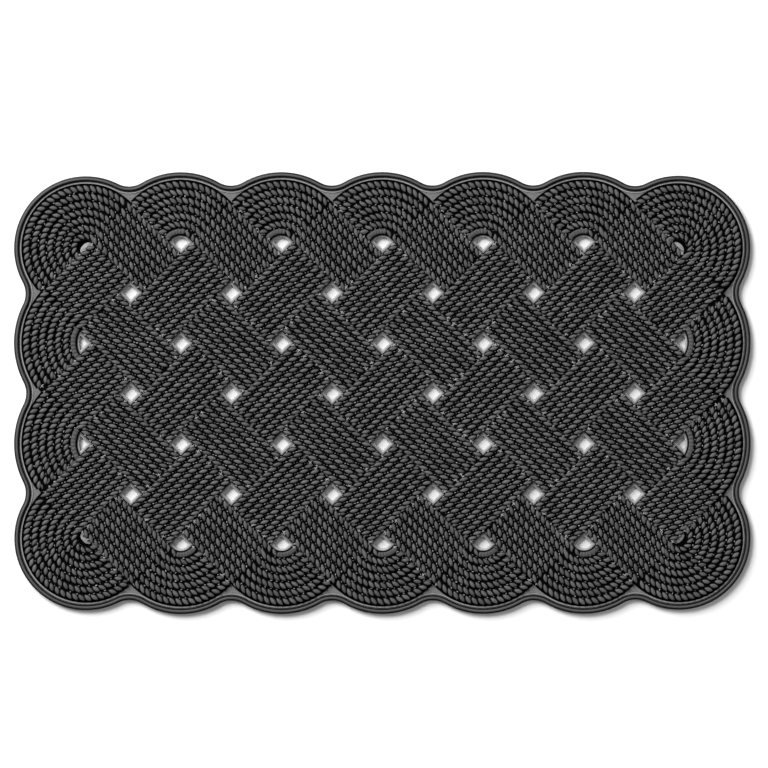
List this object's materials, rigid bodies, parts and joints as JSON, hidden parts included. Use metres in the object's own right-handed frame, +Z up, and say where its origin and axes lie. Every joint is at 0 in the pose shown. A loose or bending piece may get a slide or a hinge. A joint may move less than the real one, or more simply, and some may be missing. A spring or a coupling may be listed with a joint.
{
  "type": "door mat",
  "caption": "Rubber door mat with a woven rope-knot relief, a scalloped edge with a raised rim, and diamond drain holes through its base sheet.",
  "frame": {"origin": "on the floor under the middle of the mat", "axes": "+Z up through the tread, +X along the long side, +Y towards the back edge"},
  "size_m": [0.762, 0.4572, 0.0095],
  "materials": {
    "rope_rubber": "satin black moulded rubber",
    "sheet_rubber": "matt dark grey-black rubber",
    "rim_rubber": "satin black moulded rubber"
  },
  "bodies": {
    "root": {"base_sheet": "sheet_rubber", "border_rim": "rim_rubber", "corner_back_left": "rope_rubber", "corner_back_right": "rope_rubber", "corner_front_left": "rope_rubber", "corner_front_right": "rope_rubber", "cross_fall_3_10": "rope_rubber", "cross_fall_3_12": "rope_rubber", "cross_fall_3_2": "rope_rubber", "cross_fall_3_4": "rope_rubber", "cross_fall_3_6": "rope_rubber", "cross_fall_3_8": "rope_rubber", "cross_fall_5_10": "rope_rubber", "cross_fall_5_12": "rope_rubber", "cross_fall_5_2": "rope_rubber", "cross_fall_5_4": "rope_rubber", "cross_fall_5_6": "rope_rubber", "cross_fall_5_8": "rope_rubber", "cross_rise_2_11": "rope_rubber", "cross_rise_2_3": "rope_rubber", "cross_rise_2_5": "rope_rubber", "cross_rise_2_7": "rope_rubber", "cross_rise_2_9": "rope_rubber", "cross_rise_4_11": "rope_rubber", "cross_rise_4_3": "rope_rubber", "cross_rise_4_5": "rope_rubber", "cross_rise_4_7": "rope_rubber", "cross_rise_4_9": "rope_rubber", "cross_rise_6_11": "rope_rubber", "cross_rise_6_3": "rope_rubber", "cross_rise_6_5": "rope_rubber", "cross_rise_6_7": "rope_rubber", "cross_rise_6_9": "rope_rubber", "loop_back_1": "rope_rubber", "loop_back_2": "rope_rubber", "loop_back_3": "rope_rubber", "loop_back_4": "rope_rubber", "loop_back_5": "rope_rubber", "loop_front_1": "rope_rubber", "loop_front_2": "rope_rubber", "loop_front_3": "rope_rubber", "loop_front_4": "rope_rubber", "loop_front_5": "rope_rubber", "loop_left_1": "rope_rubber", "loop_left_2": "rope_rubber", "loop_right_1": "rope_rubber", "loop_right_2": "rope_rubber"}
  },
  "joints": []
}
